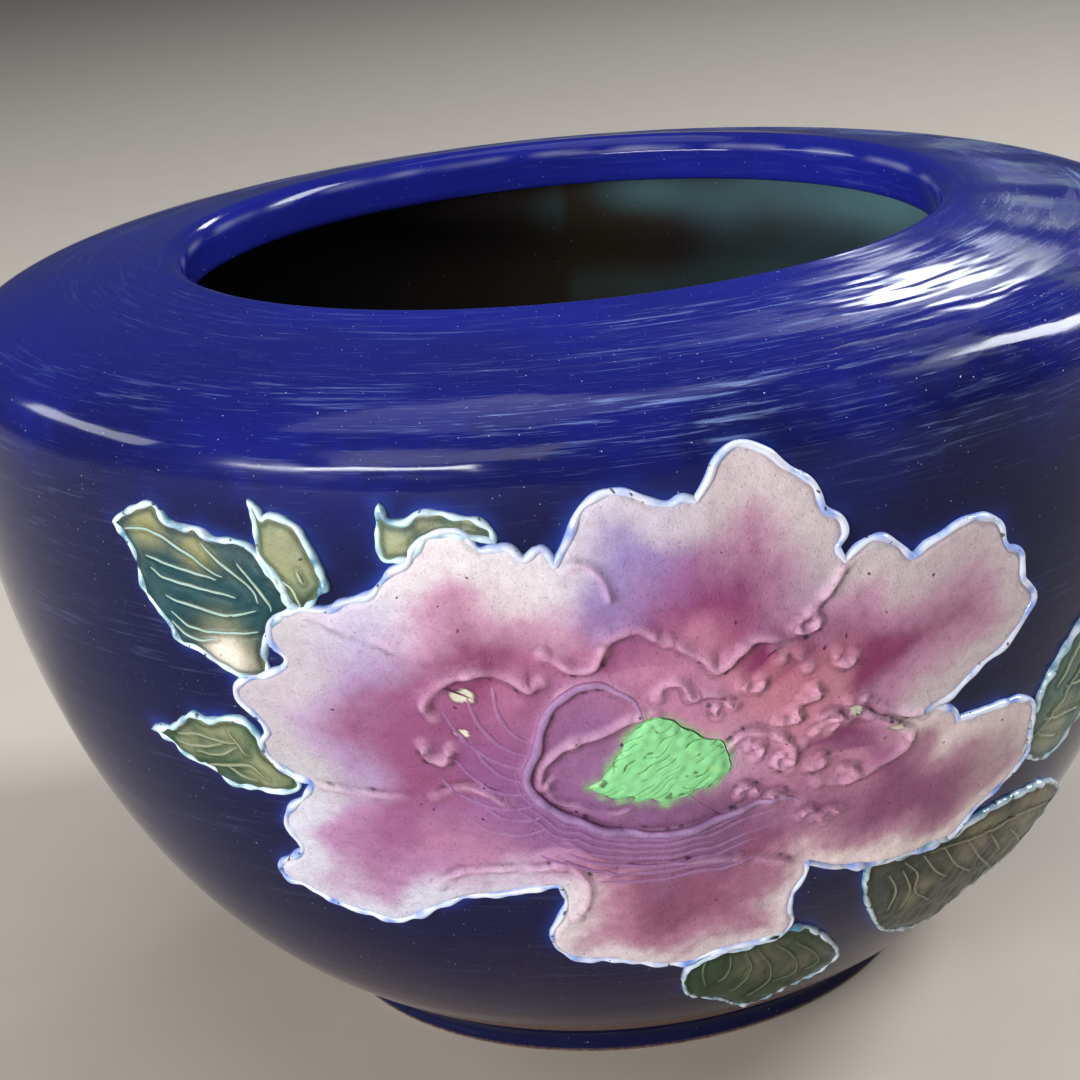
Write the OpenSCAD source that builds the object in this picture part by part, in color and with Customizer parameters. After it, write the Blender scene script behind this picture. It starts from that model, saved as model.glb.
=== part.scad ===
// Round glazed pot with a rolled-in lip, a pierced floor and a foot ring. A peony and its
// leaves are laid on the front in low relief, each edged with a bead of trailed slip.
// +Z is up, the pot stands on z = 0 and the flower faces -Y.

/* [Body] */
// Outside radius at the widest ring
belly_r = 180; // [170:1:190]
// Height of the widest ring
belly_h = 192; // [186:1:196]
// Outside radius where the wall leaves the foot
root_r = 96; // [90:1:102]
// Height of the pot, at the crown of the lip
pot_h = 228.5; // [224:0.5:232]
// Radius of the crown of the lip
crown_r = 116; // [112:1:120]
// Thickness of the thrown wall
wall_t = 9; // [7:0.5:11]

/* [Lip] */
// Radius of the round that turns the crown down into the mouth
lip_round = 6; // [5:0.5:7]
// Depth of the lip's inner face below the crown
lip_depth = 15; // [13:0.5:17]
// Thickness of the lip's lower edge
lip_edge = 4.5; // [4:0.5:5]

/* [Foot and floor] */
// Height of the foot ring
foot_h = 9.5; // [8:0.5:11]
// Outside radius of the foot ring at the surface it stands on
foot_r = 93; // [88:1:98]
// Width of the foot ring
foot_w = 13; // [10:1:16]
// Radius of the drain hole in the floor
drain_r = 14; // [10:1:18]

/* [Relief] */
// Thickness of the outer petals and the leaves
petal_t = 1.6; // [1:0.1:2.5]
// Height of the inner petals above the outer ones
inner_t = 2; // [1:0.1:3]
// Width of a bead of trailed slip round a petal
bead_w = 3.4; // [2.5:0.1:4]
// Width of a bead of trailed slip round a leaf
leaf_bead_w = 2.4; // [1.8:0.1:3]
// Height of a bead of trailed slip
bead_h = 2.6; // [2:0.1:3.5]

/* [Hidden] */
function named(stem, numbers) = [for (i = numbers) str(stem, i)];
petal_numbers = [1 : 8];
inner_numbers = [1 : 6];
leaf_numbers = [1 : 7];
// The small leaf 3 is too short to carry veins
vein_numbers = [1, 2, 4, 5, 6, 7];

// Glazes
cobalt = "#1d2268";
dark_cobalt = "#15173f";
biscuit = "#8a5a3c";
petal_rose = "#b26a86";
inner_rose = "#a4557a";
coral = "#c8707a";
eye_green = "#86d98c";
leaf_green = "#5b7a52";
bead_blue = "#b9d3ea";
thread_mauve = "#9c78b0";

// Outside curve of the pot, as two cubic curves that meet at the widest ring
wall_curve = [[root_r, foot_h], [root_r + 76, foot_h + 47], [belly_r, belly_h - 30],
    [belly_r, belly_h]];
shoulder_curve = [[belly_r, belly_h], [belly_r, belly_h + 31.5], [crown_r + 55, pot_h - 8.5],
    [crown_r, pot_h]];
wall_steps = 18;
shoulder_steps = 16;

function cubic(c, t) = pow(1 - t, 3) * c[0] + 3 * t * pow(1 - t, 2) * c[1]
    + 3 * t * t * (1 - t) * c[2] + pow(t, 3) * c[3];
function slope(c, t) = let (d = pow(1 - t, 2) * (c[1] - c[0]) + 2 * t * (1 - t) * (c[2] - c[1])
    + t * t * (c[3] - c[2])) d / norm(d);
function inward(c, t, depth) = let (d = slope(c, t)) cubic(c, t) + depth * [-d[1], d[0]];
function steps(n) = [for (i = [0 : n]) i / n];
function backwards(list) = [for (i = [len(list) - 1 : -1 : 0]) list[i]];

// Outside points from the foot to the crown, with the distance run up the wall to each
outside = concat([for (t = steps(wall_steps)) cubic(wall_curve, t)],
    [for (i = [1 : shoulder_steps]) cubic(shoulder_curve, i / shoulder_steps)]);
run = [for (i = 0, s = 0; i < len(outside);
    i = i + 1, s = s + (i < len(outside) ? norm(outside[i] - outside[i - 1]) : 0)) s];
radius_at = [for (i = [0 : len(outside) - 1]) [run[i], outside[i][0]]];
height_at = [for (i = [0 : len(outside) - 1]) [run[i], outside[i][1]]];

// The decoration is drawn flat: x runs round the widest ring from the front and y runs up the
// wall from the foot, both in millimetres. on_pot lifts such a point onto the pot, h above it.
function ring_at(y) = [lookup(y, radius_at), lookup(y, height_at)];
function on_pot(p, h) = let (q = ring_at(p[1]), d = ring_at(p[1] + 2) - ring_at(p[1] - 2),
    out = [d[1], -d[0]] / norm(d), r = q[0] + h * out[0], a = p[0] / belly_r * 180 / PI)
    [r * sin(a), -r * cos(a), q[1] + h * out[1]];

// A smooth line through knots, with k short steps from one knot to the next
function knot(list, i, closed) = closed ? list[(i + len(list)) % len(list)]
    : list[max(0, min(len(list) - 1, i))];
function between(a, b, c, d, t) = 0.5 * (2 * b + (c - a) * t + (2 * a - 5 * b + 4 * c - d) * t * t
    + (3 * b - a - 3 * c + d) * t * t * t);
function smooth(list, k, closed = false) = concat(
    [for (i = [0 : len(list) - (closed ? 1 : 2)]) for (j = [0 : k - 1])
        between(knot(list, i - 1, closed), knot(list, i, closed), knot(list, i + 1, closed),
            knot(list, i + 2, closed), j / k)],
    closed ? [] : [list[len(list) - 1]]);
function middle(list) = [for (i = list) 1] * list / len(list);

// Faces between m rings of n points; the last ring joins the first when it wraps
function sides(m, n, wrap = false) = [for (j = [0 : m - (wrap ? 1 : 2)]) for (i = [0 : n - 1])
    let (k = (j + 1) % m, a = j * n + i, b = j * n + (i + 1) % n, c = k * n + i,
        d = k * n + (i + 1) % n) each [[a, c, b], [b, c, d]]];
// Faces that close the two end rings like a ladder, point i against point n - 1 - i
function ladders(m, n) = [for (i = [0 : n / 2 - 2]) let (end = (m - 1) * n, j = n - 1 - i)
    each [[i, i + 1, j - 1], [i, j - 1, j], [end + i, end + j - 1, end + i + 1],
        [end + i, end + j, end + j - 1]]];
// Faces that close the two end rings to a pole each, the points after the last ring
function poles(m, n) = [for (i = [0 : n - 1]) let (end = (m - 1) * n, j = (i + 1) % n)
    each [[m * n, i, j], [m * n + 1, end + j, end + i]]];

// How far up, across its width, a thin piece sits: the base just clears the wall's curve
base_gap = 0.2;

// A thin tile of the outline's shape, thick t, standing h above the wall, with an eased edge
module tile(outline, h, t) {
    mid = middle(outline);
    layers = [[0.35, h + t], [0.7, h + t], [0.95, h + t], [1, h + 0.6 * t], [1, h], [0.7, h],
        [0.35, h]];
    m = len(layers);
    n = len(outline);
    polyhedron(concat([for (l = layers) for (p = outline) on_pot(mid + l[0] * (p - mid), l[1])],
        [on_pot(mid, h + t), on_pot(mid, h)]), concat(sides(m, n), poles(m, n)));
}

// A thin strip between two lines that hold the same number of points, thick t, h above the wall
module strip(left, right, h, t) {
    section = [[0, h + 0.6 * t], [0.04, h + t], [0.35, h + t], [0.68, h + t], [1, h + 0.8 * t],
        [1, h], [0.68, h], [0.35, h], [0.04, h], [0, h]];
    m = len(left);
    n = len(section);
    polyhedron([for (i = [0 : m - 1]) for (q = section)
        on_pot(left[i] + q[0] * (right[i] - left[i]), q[1])], concat(sides(m, n), ladders(m, n)));
}

// A half-round bead w wide and t tall along a line, standing h above the wall
module bead(line, w, t, h, closed = false) {
    section = [[-0.5, 0], [-0.38, 0.7], [0, 1], [0.38, 0.7], [0.5, 0], [0, 0]];
    m = len(line);
    n = len(section);
    points = [for (i = [0 : m - 1])
        let (d = knot(line, i + 1, closed) - knot(line, i - 1, closed), side = [d[1], -d[0]] / norm(d))
        for (q = section) on_pot(line[i] + q[0] * w * side, h + q[1] * t)];
    polyhedron(points, concat(sides(m, n, closed), closed ? [] : ladders(m, n)));
}

// Where the petals meet, and how near to it the outer petals reach
heart = [12, 143];
reach = 0.35;

// Free edges of the outer petals, clockwise from the upper left. Each ends where the next starts.
petal_edges = [
    [[-8, 201], [-4, 209], [4, 217], [14, 215], [19, 213], [25, 213]],
    [[25, 213], [30, 222], [36, 224], [43, 221], [50, 215], [58, 204], [60, 192]],
    [[60, 192], [69, 196], [78, 189], [92, 194], [104, 191], [112, 179], [118, 168], [108, 155],
        [84, 145]],
    [[84, 145], [96, 140], [112, 137], [122, 134], [129, 126], [130, 115], [112, 101], [99, 94],
        [76, 96], [54, 104]],
    [[54, 104], [51, 90], [53, 80], [44, 73], [20, 69], [-2, 74], [-20, 81], [-20, 90],
        [-16, 108]],
    [[-16, 108], [-34, 105], [-53, 99], [-68, 92], [-90, 98], [-101, 104], [-92, 116],
        [-91, 125], [-84, 134]],
    [[-84, 134], [-90, 147], [-88, 156], [-94, 164], [-84, 172], [-79, 181], [-70, 191]],
    [[-70, 191], [-59, 193], [-49, 198], [-40, 207], [-31, 211], [-22, 206], [-15, 203],
        [-8, 201]]];

// Closed outlines of the ruffled inner petals that are round, clockwise
round_inner_petals = [
    [[-41, 169], [-33, 174], [-22, 175], [-13, 171], [-17, 160], [-28, 152], [-40, 158]],
    [[49, 146], [57, 151], [67, 150], [79, 140], [73, 133], [61, 129], [49, 134]],
    [[-44, 150], [-30, 147], [-22, 140], [-24, 130], [-36, 128], [-46, 138]],
    [[-30, 117], [-10, 124], [14, 120], [38, 123], [50, 117], [30, 108], [0, 110]]];
// The long ones, and the curled petal, each as a free edge and the line it rises from
long_inner_petals = [
    [[[-12, 178], [-5, 175], [1, 179], [7, 183], [16, 179]],
        [[-10, 171], [-4, 169], [2, 170], [8, 170], [14, 170]]],
    [[[19, 175], [26, 170], [33, 174], [40, 176], [49, 168]],
        [[19, 167], [26, 163], [32, 165], [38, 166], [44, 162]]]];
curl_petal_edges = [
    [[-4, 131], [-13, 134], [-18, 141], [-19, 151], [-13, 162], [-1, 168], [8, 164]],
    [[-2, 136], [-7, 138], [-10, 142], [-11, 149], [-7, 156], [0, 159], [6, 158]]];

// The long ridge that winds round the curled petal and out to the right, and the eye
curl_line = [[9, 160], [6, 166], [-1, 170], [-10, 167], [-17, 156], [-20, 145], [-15, 135],
    [-2, 127], [12, 124], [30, 127], [42, 130], [50, 127]];
eye_edge = [[-4, 141], [2, 148], [6, 155], [12, 159], [22, 153], [29, 149], [29, 142],
    [20, 136], [7, 136]];

// Threads drawn in the slip round the heart
thread_lines = [
    [[-31, 154], [-26, 152], [-23, 147]],
    [[-41, 147], [-33, 145], [-25, 138]],
    [[-43, 113], [-32, 114], [-20, 114], [-12, 113]],
    [[38, 118], [46, 121], [56, 122], [64, 119]],
    [[36, 113], [48, 116], [60, 115]],
    [[24, 106], [38, 109], [50, 108]]];

// Closed outlines of the leaves, clockwise from the tip
leaf_edges = [
    [[-123, 208], [-110, 214], [-100, 209], [-88, 207], [-79, 204], [-74, 195], [-75, 188],
        [-83, 180], [-83, 172], [-92, 171], [-106, 178], [-115, 189], [-119, 202]],
    [[-79, 216], [-72, 214], [-66, 209], [-63, 201], [-64, 194], [-71, 191], [-76, 197],
        [-80, 206]],
    [[-47, 216], [-38, 216], [-28, 216], [-20, 209], [-32, 207], [-44, 204], [-49, 209]],
    [[-127, 149], [-120, 152], [-110, 157], [-96, 157], [-89, 149], [-81, 143], [-83, 137],
        [-98, 135], [-112, 139], [-124, 145]],
    [[20, 66], [31, 70], [44, 72], [57, 75], [68, 68], [78, 50], [69, 40], [55, 33], [40, 38],
        [25, 48], [18, 58]],
    [[76, 95], [99, 93], [116, 98], [138, 97], [156, 92], [172, 80], [162, 66], [143, 58],
        [120, 54], [96, 58], [84, 72], [76, 84]],
    [[134, 136], [139, 146], [149, 156], [162, 162], [172, 150], [170, 134], [158, 118],
        [144, 110], [134, 114], [131, 124]]];
leaf_vein_lines = [
    [[[-122, 207], [-104, 202], [-90, 194], [-80, 187]], [[-116, 199], [-103, 194], [-93, 193]],
        [[-114, 192], [-102, 188], [-88, 187]], [[-92, 205], [-82, 198], [-76, 190]],
        [[-109, 184], [-97, 181], [-86, 182]]],
    [[[-72, 202], [-68, 198], [-66, 193]]],
    [],
    [[[-118, 150], [-104, 148], [-92, 143]], [[-114, 144], [-102, 143], [-94, 142]],
        [[-106, 155], [-98, 150], [-92, 145]]],
    [[[36, 70], [42, 60], [38, 48]], [[44, 71], [52, 60], [50, 44]],
        [[52, 73], [60, 62], [62, 48]], [[28, 66], [34, 58], [30, 50]]],
    [[[96, 90], [92, 78], [94, 66]], [[110, 92], [112, 80], [122, 70]],
        [[124, 94], [126, 84], [134, 74]], [[136, 94], [138, 86], [146, 76]],
        [[150, 90], [150, 82], [156, 74]]],
    [[[134, 118], [144, 128], [154, 142], [160, 154]], [[146, 120], [154, 130], [164, 140]]]];

module bowl_wall() {
    color(cobalt) rotate_extrude($fn = 180) polygon(concat(
        [for (t = steps(wall_steps)) cubic(wall_curve, t)],
        backwards([for (t = steps(wall_steps)) inward(wall_curve, t, wall_t)])));
}

module shoulder() {
    color(cobalt) rotate_extrude($fn = 180) polygon(concat(
        [for (t = steps(shoulder_steps)) cubic(shoulder_curve, t)],
        backwards([for (t = steps(shoulder_steps)) inward(shoulder_curve, t, wall_t)])));
}

// The lip turns over from the crown and hangs inside the mouth
module lip() {
    mouth_r = crown_r - lip_round;
    root = inward(shoulder_curve, 1, wall_t);
    color(cobalt) rotate_extrude($fn = 180) polygon(concat(
        [root], [[crown_r, pot_h]],
        [for (a = [105 : 15 : 180]) [crown_r + lip_round * cos(a), pot_h - lip_round * (1 - sin(a))]],
        [[mouth_r, pot_h - lip_depth + 2], [mouth_r + 1.5, pot_h - lip_depth],
            [mouth_r + lip_edge, pot_h - lip_depth + 1]]));
}

module floor_disc() {
    rim = inward(wall_curve, 0, wall_t);
    color(dark_cobalt) rotate_extrude($fn = 180)
        polygon([[drain_r, foot_h], [root_r, foot_h], rim, [drain_r, rim[1]]]);
}

module foot_ring() {
    inner_r = foot_r - foot_w;
    color(biscuit) rotate_extrude($fn = 180) polygon([[inner_r, 1], [inner_r + 1, 0],
        [foot_r - 1.5, 0], [foot_r, 1.5], [foot_r, foot_h / 2], [root_r, foot_h],
        [inner_r, foot_h]]);
}

// One outer petal: a strip from its free edge in towards the heart
module outer_petal(i) {
    edge = smooth(petal_edges[i - 1], 2);
    color(petal_rose) strip(edge, [for (p = edge) heart + reach * (p - heart)], base_gap, petal_t);
}

module petal_bead(i) {
    color(bead_blue) bead(smooth(petal_edges[i - 1], 3), bead_w, bead_h, base_gap);
}

module inner_petal(i) {
    long = i - len(round_inner_petals) - 1;
    color(inner_rose)
        if (long < 0) tile(smooth(round_inner_petals[i - 1], 2, true), base_gap + petal_t, inner_t);
        else raised(long_inner_petals[long]);
}

// A petal between its free edge and its root line, on top of the outer petals
module raised(edges) {
    strip(smooth(edges[0], 3), smooth(edges[1], 3), base_gap + petal_t, inner_t);
}

module curl_petal() {
    color(coral) raised(curl_petal_edges);
}

module curl_ridge() {
    color(thread_mauve) bead(smooth(curl_line, 3), bead_w, bead_h, base_gap + petal_t);
}

module flower_eye() {
    color(eye_green) tile(smooth(eye_edge, 2, true), base_gap + petal_t, 1.2 * inner_t);
}

module petal_threads() {
    color(thread_mauve) for (line = thread_lines)
        bead(smooth(line, 3), bead_w / 2, bead_h / 3, base_gap + petal_t);
}

module leaf(i) {
    color(leaf_green) tile(smooth(leaf_edges[i - 1], 2, true), base_gap, petal_t);
}

module leaf_bead(i) {
    color(bead_blue) bead(smooth(leaf_edges[i - 1], 2, true), leaf_bead_w, bead_h, base_gap, true);
}

module leaf_veins(i) {
    color(bead_blue) for (line = leaf_vein_lines[i - 1])
        bead(smooth(line, 2), bead_w / 2, bead_h / 2, base_gap + petal_t);
}

bowl_wall();
shoulder();
lip();
floor_disc();
foot_ring();
for (i = petal_numbers) outer_petal(i);
for (i = petal_numbers) petal_bead(i);
for (i = inner_numbers) inner_petal(i);
curl_petal();
curl_ridge();
flower_eye();
petal_threads();
for (i = leaf_numbers) leaf(i);
for (i = leaf_numbers) leaf_bead(i);
for (i = vein_numbers) leaf_veins(i);
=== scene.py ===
import bpy
import numpy as np
from mathutils import Matrix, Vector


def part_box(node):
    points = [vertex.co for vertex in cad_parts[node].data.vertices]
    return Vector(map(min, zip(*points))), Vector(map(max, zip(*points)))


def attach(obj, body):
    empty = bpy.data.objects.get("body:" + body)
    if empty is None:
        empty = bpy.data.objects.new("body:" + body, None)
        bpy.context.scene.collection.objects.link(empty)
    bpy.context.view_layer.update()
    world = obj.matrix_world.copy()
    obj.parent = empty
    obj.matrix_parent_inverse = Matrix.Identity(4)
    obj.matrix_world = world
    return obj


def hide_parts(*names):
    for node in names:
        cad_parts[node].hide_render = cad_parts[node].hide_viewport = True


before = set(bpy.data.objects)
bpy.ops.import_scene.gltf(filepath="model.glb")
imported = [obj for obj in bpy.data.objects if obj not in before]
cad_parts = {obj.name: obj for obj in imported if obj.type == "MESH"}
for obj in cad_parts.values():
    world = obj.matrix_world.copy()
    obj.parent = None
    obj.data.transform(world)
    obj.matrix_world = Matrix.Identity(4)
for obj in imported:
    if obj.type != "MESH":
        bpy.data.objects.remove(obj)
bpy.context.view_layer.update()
mm = 0.001


def cadSize(node, corner, axis):  # one side of a CAD node's box, in millimetres
    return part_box(node)[corner][axis] / mm


# Lengths are in millimetres. Each handle says how far a curve's control point stands from its end.
pot = {
    "bellyRadius": cadSize("shoulder", 1, 0), "bellyHeight": cadSize("bowl_wall", 1, 2),
    "rootRadius": cadSize("floor_disc", 1, 0), "footHeight": cadSize("foot_ring", 1, 2),
    "potHeight": cadSize("shoulder", 1, 2), "crownRadius": cadSize("lip", 1, 0),
    "rootHandle": (76, 47), "bellyHandle": 30, "shoulderHandle": 31.5, "crownHandle": (55, 8.5),
    "wallThickness": 9, "footRadius": 93, "footWidth": 13, "drainRadius": 14,
    "lipRound": 6, "lipDepth": 15, "lipEdge": 4.5,
}
# The decoration is laid out flat: x runs round the widest ring from the front and y up the wall.
heart = np.array([12.0, 143.0])
# How far a piece's base lies inside the wall, corners round a bead, and the angle of a sharp edge
build = {"sink": 1.5, "beadSides": 12, "sharpAngle": 68}
print("frame loaded:", len(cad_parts), "CAD nodes")


def cubic(a, b, c, d, t):  # a Bezier curve from a to d with handles b and c
    a, b, c, d, t = *(np.array(p, float) for p in (a, b, c, d)), np.asarray(t)[:, None]
    return (1 - t) ** 3 * a + 3 * t * (1 - t) ** 2 * b + 3 * t * t * (1 - t) * c + t ** 3 * d


def wallCurve(t):  # foot joint to widest ring, as radius and height
    foot = np.array([pot["rootRadius"], pot["footHeight"]])
    belly = np.array([pot["bellyRadius"], pot["bellyHeight"]])
    return cubic(foot, foot + pot["rootHandle"], belly - [0, pot["bellyHandle"]], belly, t)


def shoulderCurve(t):  # widest ring to the crown of the lip
    belly = np.array([pot["bellyRadius"], pot["bellyHeight"]])
    crown = np.array([pot["crownRadius"], pot["potHeight"]])
    out, down = pot["crownHandle"]
    return cubic(belly, belly + [0, pot["shoulderHandle"]], crown + [out, -down], crown, t)


def runOf(line):  # distance run along a line to each of its points
    return np.concatenate([[0], np.cumsum(np.hypot(*np.diff(line, axis=0).T))])


def outward(line):  # unit normals to the right of a line, which point out of the pot
    step = np.gradient(line, axis=0)
    step /= np.hypot(*step.T)[:, None]
    return np.stack([step[:, 1], -step[:, 0]], -1)


outside = np.vstack([wallCurve(np.linspace(0, 1, 400)), shoulderCurve(np.linspace(0, 1, 300))[1:]])
outsideRun, outsideNormal = runOf(outside), outward(outside)
bellyRun = outsideRun[399]
crownRun = outsideRun[-1]


def ripple(x, y, size, seed, count=12):  # soft noise: cosines in random directions, about 1 high
    draw = np.random.default_rng(seed)
    total = 0
    turns, shifts = draw.uniform(0, 2 * np.pi, (2, count))
    for turn, shift, stretch in zip(turns, shifts, draw.uniform(0.6, 1.5, count)):
        along = (x * np.cos(turn) + y * np.sin(turn)) / (size * stretch)
        total = total + np.cos(2 * np.pi * along + shift)
    return total / np.sqrt(count / 2)


def onPot(x, y, h):  # lifts a flat point onto the pot, h off the wall; gives metres
    r, z = (np.interp(y, outsideRun, outside[:, i]) for i in (0, 1))
    outR, outZ = (np.interp(y, outsideRun, outsideNormal[:, i]) for i in (0, 1))
    angle = x / pot["bellyRadius"]
    r = r + h * outR
    return np.stack([r * np.sin(angle), -r * np.cos(angle), z + h * outZ], -1) * mm


def smoothLine(knots, perKnot=10, closed=False):  # Catmull-Rom curve through the knots
    k = np.asarray(knots, float)
    ends = (k[-1:], k[:2]) if closed else (2 * k[:1] - k[1:2], 2 * k[-1:] - k[-2:-1])
    k = np.vstack([ends[0], k, ends[1]])
    a, b, c, d = (k[i:len(k) - 3 + i, None] for i in range(4))
    t = (np.arange(perKnot) / perKnot)[None, :, None]
    line = 0.5 * (2 * b + (c - a) * t + (2 * a - 5 * b + 4 * c - d) * t ** 2
                  + (3 * b - a - 3 * c + d) * t ** 3)
    line = line.reshape(-1, 2)
    return line if closed else np.vstack([line, k[-2:-1]])


def evenly(line, count, closed=False):  # the same line with count points an even step apart
    if closed:
        line = np.vstack([line, line[:1]])
    run = runOf(line)
    at = np.linspace(0, run[-1], count, endpoint=not closed)
    return np.stack([np.interp(at, run, line[:, i]) for i in (0, 1)], -1)


def nearTo(x, y, line):  # distance to a line, the side (1 on its right), and how far along, 0 to 1
    best = np.full(x.shape, 1e9)
    side, along = np.ones(x.shape), np.zeros(x.shape)
    run = runOf(line)
    for i, step in enumerate(np.diff(line, axis=0)):
        dx, dy = x - line[i, 0], y - line[i, 1]
        t = np.clip((dx * step[0] + dy * step[1]) / (step @ step), 0, 1)
        gap = np.hypot(dx - t * step[0], dy - t * step[1])
        closer = gap < best
        best = np.where(closer, gap, best)
        side = np.where(closer, np.where(dx * step[1] > dy * step[0], 1.0, -1.0), side)
        along = np.where(closer, (run[i] + t * (run[i + 1] - run[i])) / run[-1], along)
    return best, side, along


def rise(value, low, high):  # 0 below low, 1 above high, smooth between
    t = np.clip((value - low) / (high - low), 0, 1)
    return t * t * (3 - 2 * t)


def blend(a, b, share):  # a where share is 0, b where it is 1
    share = np.asarray(share)[..., None]
    return np.asarray(a) * (1 - share) + np.asarray(b) * share


def spot(x, y, cx, cy, radius, power=2):  # 1 at its middle: exp(-(distance / radius)^power)
    return np.exp(-(np.hypot(x - cx, y - cy) / radius) ** power)


def signedVolume(points, corners):  # sum of a . (b x c) over the triangles: negative if inside out
    a, b, c = (points[corners[:, i]] for i in range(3))
    return np.einsum("ij,ij->", a, np.cross(b, c))


def buildPiece(name, points, quads, triangles, finish, fields):
    # Each piece stands in for the CAD node of the same name, and fields holds values at its points
    points = points.reshape(-1, 3)
    quads, triangles = (np.asarray(f, np.int64).reshape(-1, n) for f, n in ((quads, 4), (triangles, 3)))
    if signedVolume(points, np.vstack([quads[:, :3], quads[:, [0, 2, 3]], triangles])) < 0:
        quads, triangles = quads[:, ::-1], triangles[:, ::-1]
    mesh = bpy.data.meshes.new(name)
    corners = np.concatenate([quads.ravel(), triangles.ravel()]).astype(np.int32)
    sizes = np.concatenate([np.full(len(quads), 4), np.full(len(triangles), 3)])
    mesh.vertices.add(len(points))
    mesh.vertices.foreach_set("co", points.astype(np.float32).ravel())
    mesh.loops.add(len(corners))
    mesh.loops.foreach_set("vertex_index", corners)
    mesh.polygons.add(len(sizes))
    mesh.polygons.foreach_set("loop_start", (np.cumsum(sizes) - sizes).astype(np.int32))
    mesh.polygons.foreach_set("use_smooth", np.ones(len(sizes), bool))
    mesh.update(calc_edges=True)
    mesh.set_sharp_from_angle(angle=np.radians(build["sharpAngle"]))
    for field, values in fields.items():
        values = np.asarray(values, np.float32)
        if values.size == len(points):
            mesh.attributes.new(field, "FLOAT", "POINT").data.foreach_set("value", values.ravel())
        else:
            values = np.hstack([values.reshape(-1, 3), np.ones((len(points), 1), np.float32)])
            mesh.attributes.new(field, "FLOAT_COLOR", "POINT").data.foreach_set("color", values.ravel())
    mesh.materials.append(finish)
    piece = bpy.data.objects.new(name, mesh)
    bpy.context.scene.collection.objects.link(piece)
    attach(piece, "root")
    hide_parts(name)


def gridQuads(rows, columns, wrapRows=False, wrapColumns=False):  # corner numbers of a grid's faces
    i = np.arange(rows - (not wrapRows))[:, None]
    j = np.arange(columns - (not wrapColumns))[None]
    k, m = (i + 1) % rows, (j + 1) % columns
    return np.stack(np.broadcast_arrays(i * columns + j, k * columns + j, k * columns + m,
                                        i * columns + m), -1).reshape(-1, 4)


def addSlab(name, x, y, h, finish, fields):
    # A raised patch, rows across and columns along, on a flat base that lies inside the wall
    top = onPot(x, y, h)
    base = onPot(x[:, [-1, 0]], y[:, [-1, 0]], -build["sink"] + 0 * x[:, [-1, 0]])
    points = np.concatenate([top, base], 1)
    rows, columns = points.shape[:2]
    quads = gridQuads(rows, columns, False, True)
    half = (columns - 2) // 2
    ends = []
    for start, turn in ((0, 1), ((rows - 1) * columns, -1)):
        j = np.arange(columns - 3)
        pivot = np.where(j < half, columns - 1, columns - 2)
        fan = np.stack([start + pivot, start + j, start + j + 1], -1)
        fan = np.vstack([fan, [[start + columns - 1, start + half, start + columns - 2]]])
        ends.append(fan[:, ::turn])
    fields = {key: np.concatenate([v, v[:, [-1, 0]]], 1).reshape(rows * columns, -1)
              for key, v in fields.items()}
    buildPiece(name, points, quads, np.vstack(ends), finish, fields)


def addPad(name, x, y, h, finish, fields):
    # A closed patch in rings: row 0 is drawn in to a pole, the last row is the outline
    rings = np.concatenate([onPot(x, y, h), onPot(x[-1:], y[-1:], -build["sink"] + 0 * x[-1:])], 0)
    rows, columns = rings.shape[:2]
    middle = (x[0].mean(), y[0].mean())
    poles = onPot(*(np.array([v, v]) for v in middle), np.array([h[0].mean(), -build["sink"]]))
    points = np.vstack([rings.reshape(-1, 3), poles])
    j = np.arange(columns)
    k, top, under = (j + 1) % columns, rows * columns, rows * columns + 1
    last = (rows - 1) * columns
    fans = np.vstack([np.stack([top + 0 * j, j, k], -1),
                      np.stack([under + 0 * j, last + k, last + j], -1)])
    full = {}
    for key, v in fields.items():
        v = np.concatenate([v, v[-1:]], 0).reshape(rows * columns, -1)
        full[key] = np.vstack([v, v[:1], v[:1]])
    buildPiece(name, points, gridQuads(rows, columns, False, True), fans, finish, full)


def addTube(name, lines, widths, heights, base, finish, tintOf, closed=False):
    # Half-round beads: the line is moved sideways by cos and lifted by sin of the section's angle
    sides = build["beadSides"]
    turn = np.linspace(0, np.pi, sides - 2)
    across = np.concatenate([np.cos(turn) / 2, [-0.45, 0.45]])
    up = np.concatenate([np.sin(turn), [-0.5, -0.5]])
    points, quads, ends, tints, count = [], [], [], [], 0
    for line, width, height in zip(lines, widths, heights):
        ahead = np.roll(line, -1, 0) - np.roll(line, 1, 0) if closed else np.gradient(line, axis=0)
        ahead /= np.hypot(*ahead.T)[:, None]
        x = line[:, :1] + ahead[:, 1:] * across * width[:, None]
        y = line[:, 1:] - ahead[:, :1] * across * width[:, None]
        lift = base(line[:, 0], line[:, 1])[:, None] + up * height[:, None]
        points.append(onPot(x, y, lift).reshape(-1, 3))
        quads.append(count + gridQuads(len(line), sides, closed, True))
        if not closed:
            i = np.arange(1, sides - 1)
            last = count + (len(line) - 1) * sides
            ends += [np.stack([count + 0 * i, count + i + 1, count + i], -1),
                     np.stack([last + 0 * i, last + i, last + i + 1], -1)]
        tints.append(tintOf(x, y, up + 0 * x).reshape(-1, 3))
        count += len(line) * sides
    buildPiece(name, np.vstack(points), np.vstack(quads), np.vstack(ends) if ends else [], finish,
               {"tint": np.vstack(tints)})


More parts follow.
